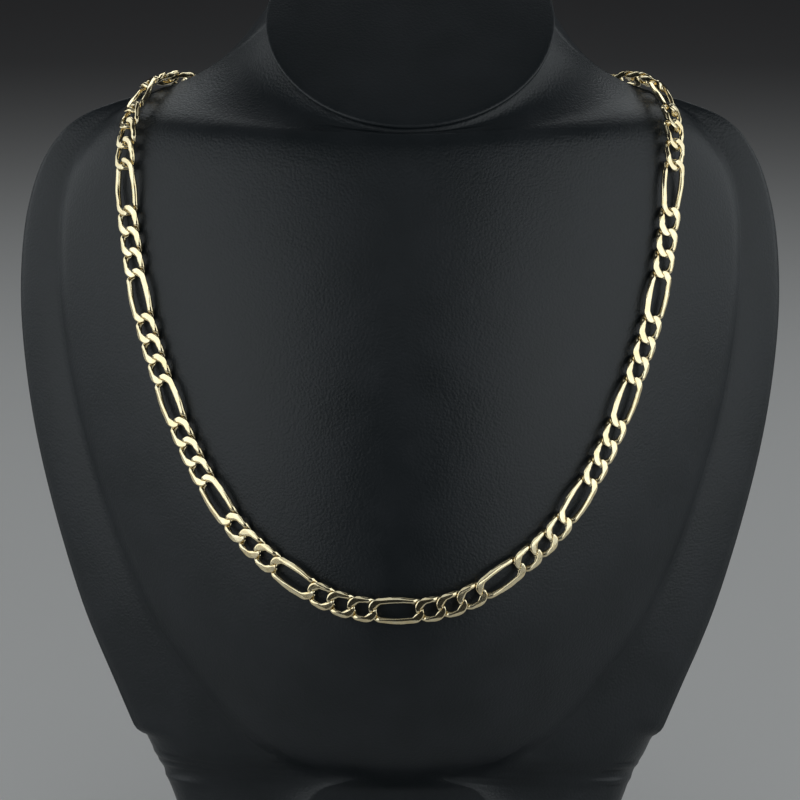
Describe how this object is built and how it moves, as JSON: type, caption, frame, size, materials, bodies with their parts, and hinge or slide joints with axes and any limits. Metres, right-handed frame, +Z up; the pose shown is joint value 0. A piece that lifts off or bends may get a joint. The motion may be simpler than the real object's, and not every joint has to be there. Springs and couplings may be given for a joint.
{
  "type": "figaro chain necklace on a neck bust",
  "caption": "Flat-cut figaro chain of short and long twisted oval links, closed with a clasp at the nape, on a leatherette neck bust",
  "frame": {"origin": "middle of the ground face's box: under the middle of the whole piece's width and depth, on the ground it stands on", "axes": "+Z up, +Y towards the back of the bust, +X to the viewer's right when the chain is seen from the front"},
  "size_m": [0.2446, 0.1153, 0.3096],
  "materials": {
    "gold": "polished yellow gold, cut flat front and back",
    "leatherette": "black fine-grained leatherette, satin"
  },
  "bodies": {
    "root": {"short_links": "gold", "long_links": "gold", "clasp": "gold", "clasp_ring": "gold", "end_ring": "gold", "bust_form": "leatherette", "neck_cap": "leatherette"}
  },
  "joints": []
}
